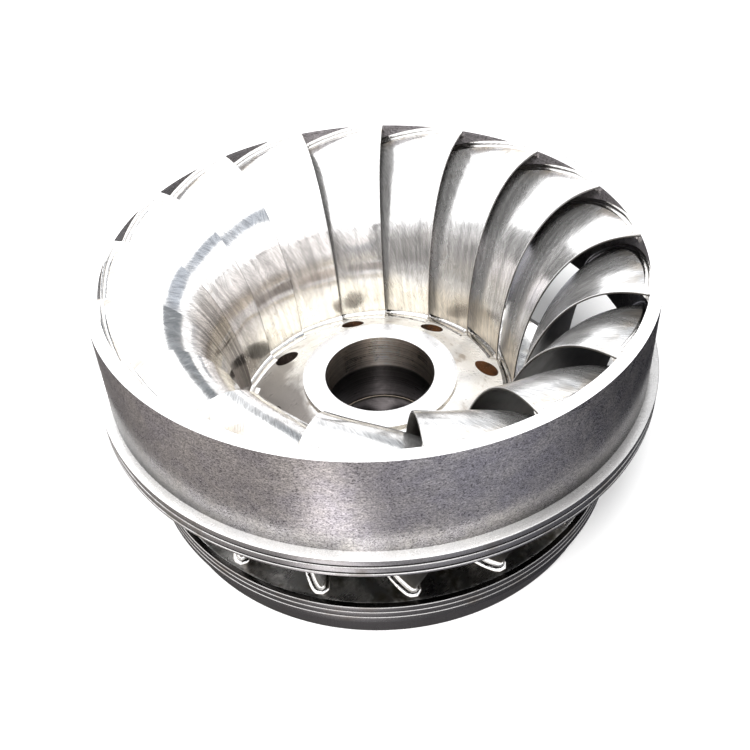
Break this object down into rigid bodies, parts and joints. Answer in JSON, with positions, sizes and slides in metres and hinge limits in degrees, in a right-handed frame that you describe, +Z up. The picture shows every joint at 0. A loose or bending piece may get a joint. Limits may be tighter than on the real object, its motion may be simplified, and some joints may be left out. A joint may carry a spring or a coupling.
{
  "type": "francis turbine runner",
  "caption": "Welded stainless Francis turbine runner lying crown down: crown disc with bored hub, outer band, seal rings and curved blades between them.",
  "frame": {"origin": "centre of the circle on the floor that the crown's foot stands on", "axes": "+Z up along the axis of rotation, from the crown to the discharge side; -Y is the side seen in front"},
  "size_m": [0.756, 0.756, 0.3595],
  "materials": {
    "band_steel": "fine turned stainless steel, satin",
    "seal_steel": "bright turned stainless steel",
    "crown_steel": "ground stainless casting",
    "hub_steel": "bright faced and bored stainless steel",
    "blade_steel": "hand ground and polished stainless steel"
  },
  "bodies": {
    "root": {"band": "band_steel", "band_seal_ring": "seal_steel", "crown": "crown_steel", "crown_seal_ring": "seal_steel", "hub": "hub_steel", "blade_01": "blade_steel", "blade_02": "blade_steel", "blade_03": "blade_steel", "blade_04": "blade_steel", "blade_05": "blade_steel", "blade_06": "blade_steel", "blade_07": "blade_steel", "blade_08": "blade_steel", "blade_09": "blade_steel", "blade_10": "blade_steel", "blade_11": "blade_steel", "blade_12": "blade_steel", "blade_13": "blade_steel", "blade_14": "blade_steel", "blade_15": "blade_steel", "blade_16": "blade_steel", "blade_17": "blade_steel"}
  },
  "joints": []
}
